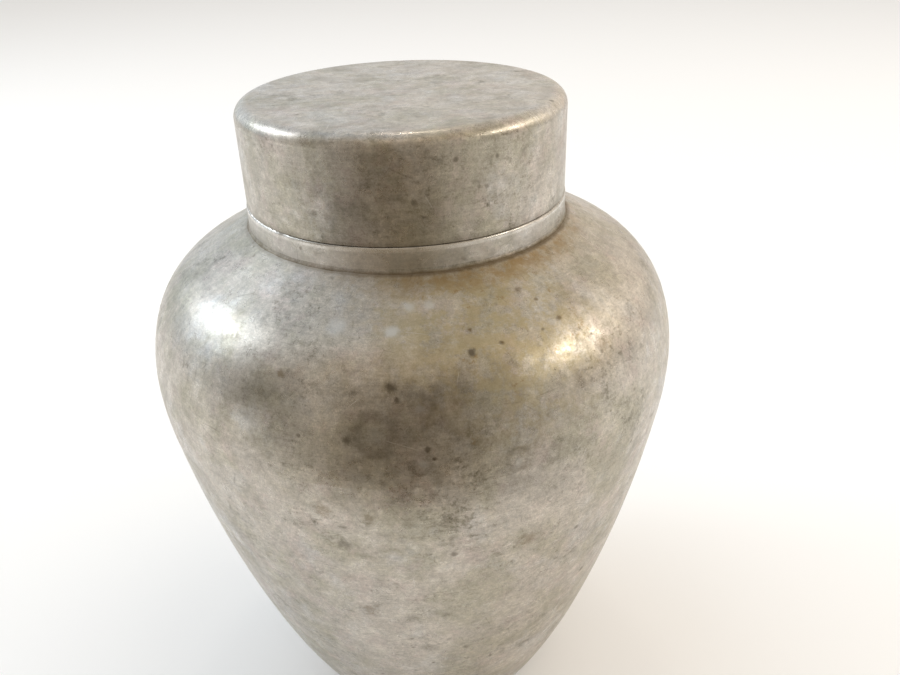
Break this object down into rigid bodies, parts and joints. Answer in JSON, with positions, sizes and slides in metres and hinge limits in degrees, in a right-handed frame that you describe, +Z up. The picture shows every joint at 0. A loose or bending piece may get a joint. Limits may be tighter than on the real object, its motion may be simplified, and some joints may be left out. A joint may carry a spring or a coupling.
{
  "type": "lidded pewter jar",
  "caption": "High-shouldered round pewter jar with a collared neck, a straight flat-topped cap lid that slips over the neck, and a knobbed plug lid inside it.",
  "frame": {"origin": "on the jar's axis in the plane of the standing edge, the centre of the bottom of the box", "axes": "+Z up along the axis of turning, out of the neck; the jar is round, so X and Y are free, and -Y is the side the picture looks at"},
  "size_m": [0.1034, 0.1034, 0.1291],
  "materials": {
    "pewter_jar": "aged dull pewter, mottled warm grey patina with small pits and ring stains",
    "pewter_lid": "aged dull pewter, fine turning lines on the flat top",
    "pewter_inside": "turned pewter, less tarnished than outside",
    "solder": "rough solder line, darkened brown with old dirt"
  },
  "bodies": {
    "jar": {"lower_shell": "pewter_jar", "shoulder_shell": "pewter_jar", "base_plate": "pewter_inside", "neck_tube": "pewter_inside", "collar_band": "pewter_jar", "collar_solder": "solder"},
    "inner_lid": {"inner_lid_plate": "pewter_inside", "inner_lid_skirt": "pewter_inside", "inner_lid_knob": "pewter_inside"},
    "outer_lid": {"outer_lid": "pewter_lid"}
  },
  "joints": [
    {"name": "inner_lid_lift", "type": "slide", "parent": "jar", "child": "inner_lid", "axis": [0, 0, 1], "range_m": [0, 0.03]},
    {"name": "outer_lid_lift", "type": "slide", "parent": "inner_lid", "child": "outer_lid", "axis": [0, 0, 1], "range_m": [0, 0.05]}
  ]
}
